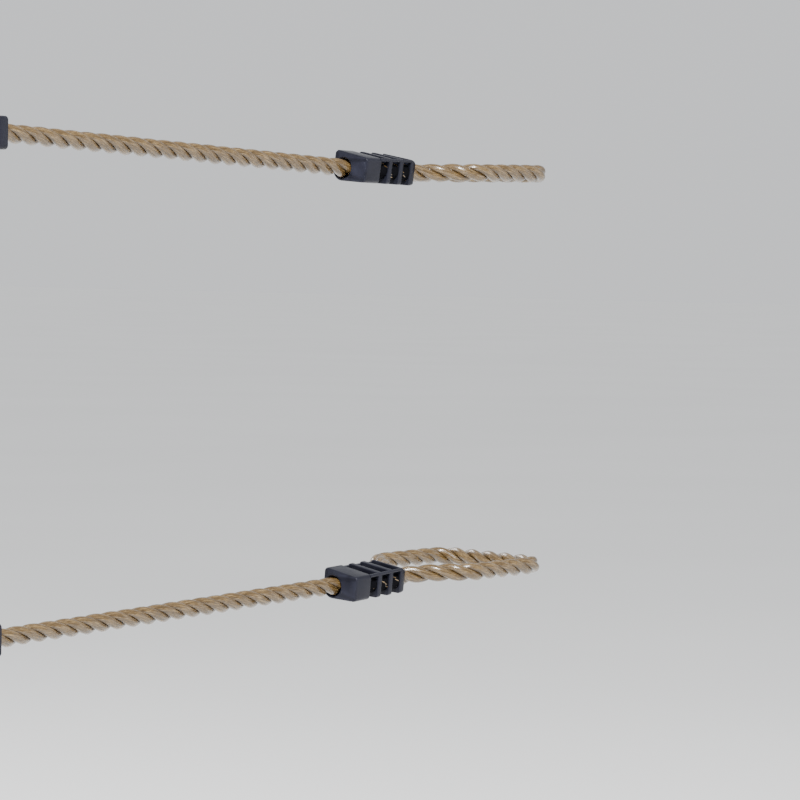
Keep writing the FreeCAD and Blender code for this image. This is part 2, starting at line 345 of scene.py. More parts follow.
@dataclass(frozen=True)
class PlasticFinish:
    """Moulded black plastic with a faint blue cast, and paler edges that are painted highlight
    and rubbing.

    Attributes:
        name: The material's name.
        body: The plastic's colour.
        rubbed: Its paler colour: on edges a painted highlight and rubbing, and, faintly, along
            the flow marks.
        roughness: The roughness about which the flow marks vary.
        shine: The specular level.
        cast: The tint of its highlights.
        grain_scale: The noise scale of the spark-eroded grain.
        flow_scale: The noise scale of the flow marks.
        rubbed_from: The pointiness at which an edge starts to take the painted highlight and
            rubbing.
        rubbed_by: The pointiness at which an edge takes them fully.
        rubbing: How strongly the edges' painted highlight and rubbing follow the flow marks
            there.
        clouding: How strongly the paler colour follows them everywhere else.
    """

    name: str = "moulded_plastic"
    body: Colour = (0.0030, 0.0032, 0.0055)
    rubbed: Colour = (0.020, 0.021, 0.033)
    roughness: float = 0.36
    shine: float = 0.15
    cast: tuple[float, float, float, float] = (0.94, 0.92, 1.0, 1.0)
    grain_scale: float = 2600.0
    flow_scale: float = 95.0
    rubbed_from: float = 0.50
    rubbed_by: float = 0.60
    rubbing: float = 1.1
    clouding: float = 0.22

    def material(self) -> bpy.types.Material:
        """Build the material: spark-eroded grain, faint flow marks and paler edges, a painted
        highlight with rubbing.

        Returns:
            The material.
        """
        sheet = ShaderSheet(self.name)
        place = sheet.node("TexCoord").outputs["Object"]
        grain = sheet.node(
            "TexNoise", Vector=place, Scale=self.grain_scale, Detail=2.0, Roughness=0.6
        )
        flow = sheet.node(
            "TexNoise", Vector=place, Scale=self.flow_scale, Detail=4.0, Roughness=0.55,
            Distortion=0.6,
        )
        # painted highlight with rubbing: pointed edges take the paler colour, standing in for
        # the bright lines that light draws along them
        edges = sheet.node("NewGeometry").outputs["Pointiness"]
        edge_highlight_mask = sheet.ramp(edges, ((self.rubbed_from, BLACK), (self.rubbed_by, WHITE)))
        marks = sheet.math("MULTIPLY", flow.outputs["Fac"], self.rubbing)
        edge_highlight_and_rub = sheet.math("MULTIPLY", edge_highlight_mask, marks)
        clouded = sheet.mixed(
            sheet.math("MULTIPLY", flow.outputs["Fac"], self.clouding),
            (*self.body, 1.0), (*self.rubbed, 1.0),
        )
        colour = sheet.mixed(edge_highlight_and_rub, clouded, (*self.rubbed, 1.0))
        sheet.join(colour, sheet.shader.inputs["Base Color"])
        rough = sheet.node(
            "MapRange", Value=flow.outputs["Fac"], From_Min=0.3, From_Max=0.7,
            To_Min=self.roughness - 0.07, To_Max=self.roughness + 0.10,
        )
        sheet.join(rough.outputs["Result"], sheet.shader.inputs["Roughness"])
        sheet.shader.inputs["Specular IOR Level"].default_value = self.shine
        sheet.shader.inputs["Specular Tint"].default_value = self.cast
        sheet.bump(grain.outputs["Fac"], strength=0.22, distance=0.00012)
        return sheet.material


@dataclass(frozen=True)
class FloorFinish:
    """A pale matt studio floor."""

    pale: Colour = (0.91, 0.91, 0.90)
    deeper: Colour = (0.89, 0.89, 0.88)

    def material(self) -> bpy.types.Material:
        """Build the material: two near whites in soft clouds.

        Returns:
            The material.
        """
        sheet = ShaderSheet("studio_floor")
        place = sheet.node("TexCoord").outputs["Object"]
        clouds = sheet.node("TexNoise", Vector=place, Scale=0.8, Detail=2.0)
        colour = sheet.ramp(clouds.outputs["Fac"], ((0.35, self.deeper), (0.65, self.pale)))
        sheet.join(colour, sheet.shader.inputs["Base Color"])
        sheet.shader.inputs["Roughness"].default_value = 0.9
        return sheet.material


def placed(name: str, mesh: bpy.types.Mesh) -> bpy.types.Object:
    """Put a mesh in the scene.

    Args:
        name: The object's name.
        mesh: The finished mesh.

    Returns:
        The object, at the origin.
    """
    piece = bpy.data.objects.new(name, mesh)
    bpy.context.scene.collection.objects.link(piece)
    return piece


# ---- ropes ---------------------------------------------------------------------------------


@dataclass
class LaidRope:
    """Three-strand rope laid right-handed, made along any route as one mesh of three strands.

    Attributes:
        radius: The rope's radius.
        lay: The length in which a strand goes once round.
        strand_count: How many strands it has.
        strand_radius: A strand's radius.
        strand_offset: The distance of a strand's middle from the rope's.
        rings_per_lay: The rings of vertices in one lay.
        end_shares: Where the closer rings at an end stand, in steps.
        round_steps: How finely a strand is rounded.
        plumpness: How much a strand swells and thins along its length, as a share.
        plump_pace: How often it swells, against its turns.
        plump_shift: How far one strand's swelling is shifted from the next one's.
        material: The rope's finish.
    """

    FIBRE = "fibre"
    CROWN = "crown"

    radius: float = 6.0 * MM
    lay: float = 42.0 * MM
    strand_count: int = 3
    strand_radius: float = 2.95 * MM
    strand_offset: float = 3.05 * MM
    rings_per_lay: int = 20
    end_shares: tuple[float, ...] = (0.0, 0.06, 0.2, 0.5)
    round_steps: int = 4
    plumpness: float = 0.018
    plump_pace: float = 0.37
    plump_shift: float = 2.1
    material: bpy.types.Material | None = None

    def centreline(self, name: str, route: Sequence[Vector]) -> list[Vector]:
        """Read the smooth line that a route's points stand for.

        Args:
            name: A name for the passing curve.
            route: The points, which control a NURBS spline of order three.

        Returns:
            The spline's own points, from first to last.
        """
        curve = bpy.data.curves.new(name, "CURVE")
        curve.dimensions = "3D"
        spline = curve.splines.new("NURBS")
        spline.points.add(len(route) - 1)
        for point, place in zip(spline.points, route):
            point.co = (*place, 1.0)
        spline.order_u = 3
        spline.use_endpoint_u = True
        spline.resolution_u = 24
        holder = bpy.data.objects.new(name, curve)
        mesh = bpy.data.meshes.new_from_object(holder)
        line = [vertex.co.copy() for vertex in mesh.vertices]
        bpy.data.meshes.remove(mesh)
        bpy.data.objects.remove(holder)
        bpy.data.curves.remove(curve)
        return line

    def stations(self, line: Sequence[Vector]) -> tuple[list[Vector], list[float]]:
        """Space points evenly along a line, closer together at its two ends.

        Args:
            line: The points of the rope's smooth line.

        Returns:
            The points, and the distance of each along the line.
        """
        lengths = [0.0]
        for before, after in zip(line, line[1:]):
            lengths.append(lengths[-1] + (after - before).length)
        total = lengths[-1]
        count = max(2, round(total / (self.lay / self.rings_per_lay)))
        step = total / count
        ends = [step * share for share in self.end_shares]
        marks = ends + [step * k for k in range(1, count)] + [total - e for e in reversed(ends)]
        places, k = [], 0
        for mark in marks:
            while k < len(lengths) - 2 and lengths[k + 1] < mark:
                k += 1
            share = (mark - lengths[k]) / max(lengths[k + 1] - lengths[k], 1e-12)
            places.append(line[k].lerp(line[k + 1], share))
        return places, marks

    def build(
        self, name: str, route: Sequence[Vector], upright: Vector, along: float = 0.0
    ) -> bpy.types.Object:
        """Lay three strands round a route.

        Args:
            name: The piece's name.
            route: The route's control points.
            upright: A direction that the route never runs along, which the twist counts from.
            along: How far down the whole rope this piece starts, so that pieces match.

        Returns:
            The rope's object, at the origin.
        """
        centre, marks = self.stations(self.centreline(name + "_route", route))
        count = len(centre)
        frames = []
        for k in range(count):
            ahead = (centre[min(k + 1, count - 1)] - centre[max(k - 1, 0)]).normalized()
            first = (upright - ahead * upright.dot(ahead)).normalized()
            frames.append((first, ahead.cross(first)))
        curve = bpy.data.curves.new(name + "_strands", "CURVE")
        curve.dimensions = "3D"
        curve.bevel_depth = self.strand_radius
        curve.bevel_resolution = self.round_steps
        outward = []
        for strand in range(self.strand_count):
            spline = curve.splines.new("POLY")
            spline.points.add(count - 1)
            for k, (place, mark) in enumerate(zip(centre, marks)):
                turn = 2 * math.pi * ((along + mark) / self.lay + strand / self.strand_count)
                across, above = frames[k]
                out = across * math.cos(turn) + above * math.sin(turn)
                outward.append(out)
                spline.points[k].co = (*(place + out * self.strand_offset), 1.0)
                swell = math.sin(turn * self.plump_pace + strand * self.plump_shift)
                spline.points[k].radius = 1.0 + self.plumpness * swell
        holder = bpy.data.objects.new(name + "_strands", curve)
        mesh = bpy.data.meshes.new_from_object(holder)
        bpy.data.objects.remove(holder)
        bpy.data.curves.remove(curve)
        mesh.name = name
        self.mark_fibres(mesh, centre * self.strand_count, outward, marks * self.strand_count)
        self.close_ends(mesh)
        return self.finished(name, mesh)

    @staticmethod
    def close_ends(mesh: bpy.types.Mesh) -> None:
        """Fill the strands' cut ends.

        Args:
            mesh: The strands' mesh, open at its ends.
        """
        bm = bmesh.new()
        bm.from_mesh(mesh)
        bmesh.ops.holes_fill(bm, edges=[edge for edge in bm.edges if edge.is_boundary])
        bm.to_mesh(mesh)
        bm.free()

    def mark_fibres(
        self,
        mesh: bpy.types.Mesh,
        centre: Sequence[Vector],
        outward: Sequence[Vector],
        marks: Sequence[float],
    ) -> None:
        """Store on each vertex where it lies among its strand's fibres and how far out it is.

        Args:
            mesh: The strands' mesh, ring after ring.
            centre: The rope's middle at each ring.
            outward: The direction from there to the ring's strand.
            marks: The distance along the rope at each ring.
        """
        sides = len(mesh.vertices) // len(centre)
        helix = math.atan(2 * math.pi * self.strand_offset / self.lay)
        slant = math.tan(helix) / self.strand_radius
        fibres, crowns = [], []
        for ring, (middle, out) in enumerate(zip(centre, outward)):
            strand_middle = middle + out * self.strand_offset
            around = self.across(mesh, ring, sides, strand_middle, out)
            run = marks[ring] / math.cos(helix)
            for side in range(sides):
                away = mesh.vertices[ring * sides + side].co - strand_middle
                angle = math.atan2(away.dot(around), away.dot(out)) + slant * run
                fibres.extend((math.cos(angle), math.sin(angle), run / self.strand_radius))
                # how far out the vertex lies; the rope's finish paints shade between the strands
                # where this is low
                reach = (mesh.vertices[ring * sides + side].co - middle).length
                crowns.append(max(0.0, min(1.0, reach / self.radius)))
        mesh.attributes.new(self.FIBRE, "FLOAT_VECTOR", "POINT").data.foreach_set(
            "vector", fibres
        )
        mesh.attributes.new(self.CROWN, "FLOAT", "POINT").data.foreach_set("value", crowns)

    @staticmethod
    def across(
        mesh: bpy.types.Mesh, ring: int, sides: int, middle: Vector, out: Vector
    ) -> Vector:
        """The direction round a strand at one of its rings, square to outward.

        Args:
            mesh: The strands' mesh.
            ring: The ring's number.
            sides: The number of vertices in a ring.
            middle: The ring's middle.
            out: The outward direction there.

        Returns:
            The direction, as a unit vector.
        """
        quarter = [mesh.vertices[ring * sides + side].co - middle for side in (0, sides // 4)]
        along = quarter[0].cross(quarter[1]).normalized()
        return along.cross(out).normalized()

    def finished(self, name: str, mesh: bpy.types.Mesh) -> bpy.types.Object:
        """Shade a rope's mesh smooth, give it its finish and put it in the scene.

        Args:
            name: The piece's name.
            mesh: The strands' mesh.

        Returns:
            The rope's object.
        """
        mesh.shade_smooth()
        mesh.materials.append(self.material)
        piece = placed(name, mesh)
        return piece


# ---- mouldings -----------------------------------------------------------------------------


@dataclass(frozen=True)
class Ring:
    """A four-sided outline with rounded corners, square to a moulding's length.

    Attributes:
        x: Its place along the length.
        corners: Its corners (Y, Z), counted round from the back and top, over the front.
        radii: The radius of each corner.
    """

    x: float
    corners: tuple[Vector, ...]
    radii: tuple[float, ...]

    def outline(self, steps: int) -> list[Vector]:
        """Its points, with an arc in each corner.

        Args:
            steps: The number of points in each arc.

        Returns:
            Four arcs' points.
        """
        points = []
        for k, (corner, radius) in enumerate(zip(self.corners, self.radii)):
            before = (self.corners[k - 1] - corner).normalized()
            after = (self.corners[(k + 1) % 4] - corner).normalized()
            half = before.angle(after) / 2
            middle = corner + (before + after).normalized() * (radius / math.sin(half))
            start = corner + before * (radius / math.tan(half)) - middle
            for step in range(steps):
                turn = Matrix.Rotation((math.pi - 2 * half) * step / (steps - 1), 2)
                y, z = middle + turn @ start
                points.append(Vector((self.x, y, z)))
        return points

    def moved(self, x: float, grown: float = 0.0) -> "Ring":
        """The same outline at another place, a little larger or smaller.

        Args:
            x: The new place.
            grown: How far each side moves out.

        Returns:
            The new ring.
        """
        corners = []
        for k, corner in enumerate(self.corners):
            into = (corner - self.corners[k - 1]).normalized()
            out_of = (self.corners[(k + 1) % 4] - corner).normalized()
            normals = Vector((into.y + out_of.y, -into.x - out_of.x))
            corners.append(corner + normals * (grown / (1 + into.dot(out_of))))
        return Ring(x, tuple(corners), tuple(max(r + grown, 0.05 * MM) for r in self.radii))


def box_ring(x: float, low: Sequence[float], high: Sequence[float], radius: float) -> Ring:
    """A rounded rectangle between its lowest and its highest corner (Y, Z)."""
    corners = (Vector(high), Vector((low[0], high[1])), Vector(low), Vector((high[0], low[1])))
    return Ring(x, corners, (radius,) * 4)


def round_ring(x: float, y: float, radius: float) -> Ring:
    """A circle about a point on the level of the ropes."""
    return box_ring(x, (y - radius, -radius), (y + radius, radius), radius)


def eased(
    shape: Callable[[float, float], Ring],
    start: float,
    end: float,
    edge: float,
    end_edge: tuple[float, float] | None = None,
) -> list[Ring]:
    """Rings along a bar whose end edges are rounded.

    Args:
        shape: The bar's ring at a place, grown by a given amount.
        start: Where the bar starts.
        end: Where it ends.
        edge: The radius of its edges.
        end_edge: How far its last edge runs along and in, where it differs.

    Returns:
        The rings, in order.
    """
    run, drop = end_edge or (edge, edge)
    steps = [math.pi / 2 * step / 4 for step in range(5)]
    rings = [shape(start + edge * (1 - math.cos(a)), -edge * (1 - math.sin(a))) for a in steps]
    steps.reverse()
    return rings + [shape(end - run * (1 - math.cos(a)), -drop * (1 - math.sin(a)))
                    for a in steps]


class Moulding:
    """A bmesh that grows by closed lofts, each through rings with one number of points."""

    SHARP_ANGLE = math.radians(34)

    def __init__(self, corner_steps: int = 6) -> None:
        """Start with nothing.

        Args:
            corner_steps: The number of points in each corner of a ring.
        """
        self.bm = bmesh.new()
        self.corner_steps = corner_steps
        self.part = Part.SHELL

    def loft(self, rings: Sequence[Ring], turn: Matrix | None = None) -> None:
        """Add a closed skin through rings, capped at the first and the last.

        Args:
            rings: The rings in order, along and back in again where the end is hollow.
            turn: How the loft is turned and placed, for a part whose length isn't X.
        """
        made = bmesh.ops.create_circle(self.bm, segments=self.corner_steps * 4, radius=1.0)
        loops = [sorted(made["verts"], key=lambda vert: math.atan2(vert.co.y, vert.co.x))]
        for _ in rings[1:]:
            grown = bmesh.ops.extrude_edge_only(self.bm, edges=self.edges(loops[-1]))
            fresh = {item for item in grown["geom"] if isinstance(item, bmesh.types.BMVert)}
            loops.append([
                next(other for other in self.neighbours(vert) if other in fresh)
                for vert in loops[-1]
            ])
        for loop, ring in zip(loops, rings):
            for vert, point in zip(loop, ring.outline(self.corner_steps)):
                vert.co = point
        for loop in (loops[0], loops[-1]):
            bmesh.ops.edgeloop_fill(self.bm, edges=self.edges(loop))
        every = [vert for loop in loops for vert in loop]
        faces = list({face for vert in every for face in vert.link_faces})
        bmesh.ops.recalc_face_normals(self.bm, faces=faces)
        for face in faces:
            face.material_index = self.part.value
        if turn is not None:
            bmesh.ops.transform(self.bm, matrix=turn, verts=every)

    @staticmethod
    def neighbours(vert: bmesh.types.BMVert) -> list[bmesh.types.BMVert]:
        """The vertices joined to one vertex by an edge."""
        return [edge.other_vert(vert) for edge in vert.link_edges]

    @staticmethod
    def edges(loop: Sequence[bmesh.types.BMVert]) -> list[bmesh.types.BMEdge]:
        """The edges round a loop of vertices.

        Args:
            loop: The vertices, in order.

        Returns:
            The edges, in the same order.
        """
        return [
            next(edge for edge in one.link_edges if edge.other_vert(one) is other)
            for one, other in zip(loop, [*loop[1:], loop[0]])
        ]

    def bar(
        self, first: Ring, last: Ring, edge: float = 0.2 * MM, turn: Matrix | None = None
    ) -> None:
        """Add a bar with softened ends.

        Args:
            first: The outline that it starts with.
            last: The outline that it ends with.
            edge: The radius of its end edges.
            turn: How it is turned and placed.
        """
        middle = (first.x + last.x) / 2

        def shape(x: float, grown: float) -> Ring:
            """The nearer end's outline at a place."""
            return (first if x < middle else last).moved(x, grown)

        self.loft(eased(shape, first.x, last.x, edge), turn)

    def object(
        self, name: str, place: Matrix, finishes: Sequence[bpy.types.Material], slot: str
    ) -> bpy.types.Object:
        """Copy the moulding to a place as a piece of its own.

        Args:
            name: The piece's name.
            place: Where it goes and how it is turned.
            finishes: The finish of each of its parts.
            slot: The record's material slot; not used.

        Returns:
            The piece, at the origin with its place in its mesh.
        """
        mesh = bpy.data.meshes.new(name)
        copy = self.bm.copy()
        bmesh.ops.transform(copy, matrix=place, verts=copy.verts)
        if place.determinant() < 0:
            bmesh.ops.reverse_faces(copy, faces=copy.faces)
        copy.to_mesh(mesh)
        copy.free()
        mesh.shade_smooth()
        mesh.set_sharp_from_angle(angle=self.SHARP_ANGLE)
        for finish in finishes:
            mesh.materials.append(finish)
        piece = placed(name, mesh)
        return piece


@dataclass
class RopeClamp:
    """The ribbed clamp moulded over a row rope and its returned end, in its own directions.

    X runs from the mouth to the end that faces the post, and the row rope lies on X itself.
    Its shell is rolled round the two level ropes, near side down.
    """

    length: float = 54.0 * MM
    near: float = 20.0 * MM
    far: float = 8.0 * MM
    near_height: float = 16.0 * MM
    far_height: float = 19.4 * MM
    near_crown: tuple[float, float] = (0.3 * MM, 3.6 * MM)
    far_crown: tuple[float, float] = (1.0 * MM, 3.0 * MM)
    crown_fall: float = 9.0 * MM
    roll: float = 7.5
    taper: float = 1.2 * MM
    radii: tuple[float, ...] = (2.4 * MM, 2.8 * MM, 2.8 * MM, 7.4 * MM)
    channel_pitch: float = 12.6 * MM
    collar: float = 15.6 * MM
    rib: float = 4.0 * MM
    end_rib: float = 6.8 * MM
    rail: float = 3.0 * MM
    rail_height: float = 2.0 * MM
    far_rail_drop: float = 1.2 * MM
    sleeve_radius: float = 6.6 * MM
    near_sleeve_radius: float = 6.0 * MM
    mouth_radius: float = 6.5 * MM
    edge: float = 1.0 * MM
    nose: tuple[float, float] = (4.6 * MM, 2.3 * MM)
    slots: int = 3
    rail_corner: float = 0.9 * MM
    web_corner: float = 0.5 * MM
    finishes: Sequence[bpy.types.Material] = ()
    body: Moulding = field(default_factory=Moulding)

    @property
    def slot_width(self) -> float:
        """The gap between two ribs."""
        ribs = self.collar + self.end_rib + self.rib * (self.slots - 1)
        return (self.length - ribs) / self.slots

    def across(self, y: float, z: float) -> Vector:
        """A point of the rolled shell from its place (Y, Z) before the roll."""
        middle = Vector(((self.far - self.near) / 2, 0.0))
        return middle + Matrix.Rotation(math.radians(self.roll), 2) @ (Vector((y, z)) - middle)

    def drawn_in(self, x: float) -> float:
        """How far the taper has brought each side in at a place along the clamp."""
        return self.taper * (x / self.length + 0.5)

    def crown(self, x: float, heights: tuple[float, float]) -> float:
        """How far the top stands above its plain height at a place along the clamp.

        Args:
            x: The place, from the clamp's middle.
            heights: The crown at the mouth and, but for its fall, at the end by the post.

        Returns:
            The extra height.
        """
        at_mouth, at_post = heights
        fall = max(0.0, x - (self.length / 2 - self.crown_fall)) / self.crown_fall
        rising = at_mouth + (at_post - at_mouth) * (x / self.length + 0.5)
        return rising * math.sqrt(max(0.0, 1.0 - fall * fall))

    def section(self, x: float, grown: float = 0.0) -> Ring:
        """The clamp's outer section.

        Args:
            x: The place, from the clamp's middle.
            grown: How far each side stands out from the plain taper.

        Returns:
            The section's ring.
        """
        near, far = self.near_height / 2, self.far_height / 2
        corners = ((self.far, far + self.crown(x, self.far_crown)),
                   (-self.near, near + self.crown(x, self.near_crown)),
                   (-self.near, -near), (self.far, -far))
        plain = Ring(x, tuple(self.across(*corner) for corner in corners), self.radii)
        return plain.moved(x, grown - self.drawn_in(x))

    def build(self) -> None:
        """Model the collar, ribs, rails and sleeves."""
        start, end = -self.length / 2, self.length / 2
        back = start + self.collar
        mouth = round_ring(start, 0.0, self.mouth_radius)
        hollow = [mouth.moved(start + self.collar / 2), mouth.moved(start + self.edge),
                  mouth.moved(start, self.edge * 0.8)]
        self.body.loft([*hollow, *eased(self.section, start, back, self.edge)])
        step = self.slot_width + self.rib
        for rib in range(1, self.slots):
            place = back + step * rib
            self.body.loft(eased(self.section, place - self.rib, place, self.edge * 0.7))
        last = end - self.end_rib
        self.body.loft(eased(self.section, last, end, self.edge * 0.7, self.nose))
        self.add_rails(back - self.edge, last + self.edge)
        self.add_sleeves(back - self.edge, last + self.edge)

    def add_rails(self, start: float, end: float) -> None:
        """Add the rails that join the ribs along both top corners, the far one lower down.

        Args:
            start: Where the rails start, from the clamp's middle.
            end: Where they end.
        """
        near = -self.near, 1, self.near_height / 2, self.near_crown, 0.0
        far = self.far, -1, self.far_height / 2, self.far_crown, self.far_rail_drop
        for side, inward, height, crown, drop in (near, far):
            ends = []
            for x in (start, end):
                drawn = self.drawn_in(x)
                outer, inner = side + inward * drawn, side + inward * self.rail
                top = height + self.crown(x, crown) - drawn - drop
                low = top - self.rail_height
                square = ((max(outer, inner), top), (min(outer, inner), top),
                          (min(outer, inner), low), (max(outer, inner), low))
                corners = tuple(self.across(*corner) for corner in square)
                ends.append(Ring(x, corners, (self.rail_corner,) * 4))
            self.body.bar(*ends)

    def add_sleeves(self, start: float, end: float) -> None:
        """Add the two sleeves round the ropes, and the web between them.

        The near sleeve is so thin that the crowns of the rope's strands show through it.

        Args:
            start: Where the sleeves start, from the clamp's middle.
            end: Where they end.
        """
        # painted shade: the sleeves and the web take the darker copy of the plastic
        self.body.part = Part.INSIDE
        for y, radius in ((0.0, self.sleeve_radius),
                          (-self.channel_pitch, self.near_sleeve_radius)):
            sleeve = round_ring(start, y, radius)
            self.body.bar(sleeve, sleeve.moved(end))
        web = box_ring(start, (-self.channel_pitch, -self.rail), (0.0, self.rail),
                       self.web_corner)
        self.body.bar(web, web.moved(end))

    def piece(self, name: str, place: Matrix) -> bpy.types.Object:
        """One clamp at its place."""
        return self.body.object(name, place, self.finishes, "clamp_plastic")


@dataclass
class CrossBlock:
    """The moulding that ties a column rope behind a row rope, with arms along both.

    X runs along the row, Z up the column and Y back, and the row rope lies on X itself.
    """

    length: float = 60.0 * MM
    hub: float = 34.0 * MM
    arm_width: float = 20.0 * MM
    arm_depth: float = 18.0 * MM
    column_offset: float = 13.0 * MM
    collar: float = 7.5 * MM
    rail: float = 2.6 * MM
    sleeve_radius: float = 7.3 * MM
    mouth_radius: float = 6.5 * MM
    hub_corner: float = 5.0 * MM
    hub_edge: float = 1.4 * MM
    root_depth: float = 2.0 * MM
    rail_corner: float = 1.1 * MM
    panel: float = 4.0 * MM
    panel_depth: float = 1.0 * MM
    corner: float = 2.6 * MM
    edge: float = 0.6 * MM

    def build(self, up: bool, down: bool) -> Moulding:
        """Model a block.

        Args:
            up: Whether it has an arm up the column.
            down: Whether it has an arm down the column.

        Returns:
            The moulding, about the row rope's axis.
        """
        made = Moulding()
        self.add_hub(made)
        to_column = Matrix.Translation((0.0, self.column_offset, 0.0))
        quarter = math.pi / 2
        turns = [Matrix.Identity(4), Matrix.Rotation(math.pi, 4, "Y")]
        if up:
            turns.append(to_column @ Matrix.Rotation(-quarter, 4, "Y"))
        if down:
            turns.append(to_column @ Matrix.Rotation(quarter, 4, "Y"))
        for turn in turns:
            self.add_arm(made, turn)
        return made

    def add_hub(self, made: Moulding) -> None:
        """Add the hub, with a shallow panel sunk in its front and its back.

        Args:
            made: The block so far.
        """
        half, panel, depth, edge = self.hub / 2, self.panel, self.panel_depth, self.hub_edge
        front, back = -self.arm_depth / 2, self.column_offset + self.arm_depth / 2
        plain = box_ring(front, (-half, -half), (half, half), self.hub_corner)
        sunk = -panel - depth * 0.4
        rings = [plain.moved(front + depth, sunk), plain.moved(front, -panel),
                 *eased(plain.moved, front, back, edge),
                 plain.moved(back, -panel), plain.moved(back - depth, sunk)]
        made.loft(rings, Matrix.Rotation(math.pi / 2, 4, "Z"))

    def add_arm(self, made: Moulding, turn: Matrix) -> None:
        """Add one arm: a hollow collar at its mouth, corner rails and a sleeve to the hub.

        Args:
            made: The block so far.
            turn: How the arm, which runs along +X, is turned and placed.
        """
        tip, root = self.length / 2, self.hub / 2 - self.root_depth
        depth, width = self.arm_depth / 2, self.arm_width / 2
        inner = tip - self.collar
        plain = box_ring(inner, (-depth, -width), (depth, width), self.corner)
        mouth = round_ring(tip, 0.0, self.mouth_radius)
        rings = [*eased(plain.moved, inner, tip, self.edge),
                 mouth.moved(tip, self.edge * 0.8), mouth.moved(tip - self.edge),
                 mouth.moved(tip - self.collar * 0.7)]
        made.loft(rings, turn)
        # painted shade: the arm's sleeve takes the darker copy of the plastic
        made.part = Part.INSIDE
        sleeve = round_ring(root, 0.0, self.sleeve_radius)
        made.bar(sleeve, sleeve.moved(inner + self.edge), turn=turn)
        made.part = Part.SHELL
        for y in (-depth, depth - self.rail):
            for z in (-width, width - self.rail):
                rail = box_ring(root, (y, z), (y + self.rail, z + self.rail),
                                self.rail_corner)
                made.bar(rail, rail.moved(inner + self.edge), turn=turn)


# ---- the net -------------------------------------------------------------------------------


@dataclass(frozen=True)
class LoopLie:
    """How a row's loop lies on its post.

    Attributes:
        rise: Its height above the clamp's middle, at the post's axis.
        slope: Its slope away from the net, in degrees.
        lean: Its slope towards the back, in degrees.
        lift: How far its near run has climbed where it leaves the clamp.
    """

    rise: float
    slope: float = 0.0
    lean: float = 0.0
    lift: float = 0.0


LIES = {
    Row.TOP: LoopLie(-6.0 * MM),
    Row.UPPER: LoopLie(0.8 * MM, slope=1.0, lift=0.6 * MM),
    Row.LOWER: LoopLie(7.1 * MM, slope=1.1, lean=1.4, lift=2.2 * MM),
    Row.BOTTOM: LoopLie(6.0 * MM, lift=1.2 * MM),
}


@dataclass
class NetLayout:
    """Where the frame says that the net's lines and pivots are."""

    rope_radius: float = 6.0 * MM

    def pivot(self, joint: str) -> float:
        """The place of a joint's axis along X."""
        return next(j["pos_m"][0] for j in frame["joints"] if j["name"] == joint)

    def level(self, row: Row) -> float:
        """The height of a row's rope in the grid."""
        low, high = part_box(f"row_rope_{row.value}_2")
        return (low.z + high.z) / 2

    def column(self, number: int) -> Vector:
        """The middle of a column's rope."""
        low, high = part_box(f"column_rope_{number}")
        return (low + high) / 2

    def leg_ends(self, row: Row, side: Side) -> tuple[Vector, Vector]:
        """The two ends of a leg's straight line.

        Args:
            row: The row.
            side: The post.

        Returns:
            The end at the clamp and the end at the grid.
        """
        low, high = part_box(f"{side.word}_leg_rope_{row.value}")
        inset = self.rope_radius
        post_x, grid_x = (high.x - inset, low.x + inset)[:: side.value]
        level = self.level(row)
        climbs = abs(high.z - inset - level) < abs(low.z + inset - level)
        post_z = low.z + inset if climbs else high.z - inset
        return Vector((post_x, 0.0, post_z)), Vector((grid_x, 0.0, level))

    def clamp_middle(self, row: Row, side: Side) -> Vector:
        """The middle of a clamp, on its row rope.

        Args:
            row: The clamp's row.
            side: Its post.

        Returns:
            The point.
        """
        low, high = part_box(f"{side.word}_clamp_{row.value}")
        at_post, at_grid = self.leg_ends(row, side)
        ahead = at_post - at_grid
        x = (low.x + high.x) / 2
        return at_post + ahead * ((x - at_post.x) / ahead.x)

    def clamp_place(self, row: Row, side: Side) -> Matrix:
        """How a clamp is placed: its X from the mouth to the post, its Y to the back.

        Args:
            row: The clamp's row.
            side: Its post. The left-hand clamps are mirrored.

        Returns:
            The matrix that places the clamp.
        """
        at_post, at_grid = self.leg_ends(row, side)
        ahead = (at_post - at_grid).normalized()
        across = Vector((0.0, 1.0, 0.0))
        above = ahead.cross(across)
        turn = Matrix((ahead, across, above)).transposed().to_4x4()
        if side is Side.LEFT:
            turn = turn @ Matrix.Diagonal((1.0, 1.0, -1.0, 1.0))
        return Matrix.Translation(self.clamp_middle(row, side)) @ turn

    def post_x(self, side: Side) -> float:
        """The place of a post's axis along X.

        Args:
            side: The post.

        Returns:
            The place, from the record's mounts.
        """
        mounts = frame["record"]["mounts"]
        name = f"{side.word}_post_loop_{Row.TOP.value}"
        return next(m["pos_m"][0] for m in mounts if m["name"] == name)


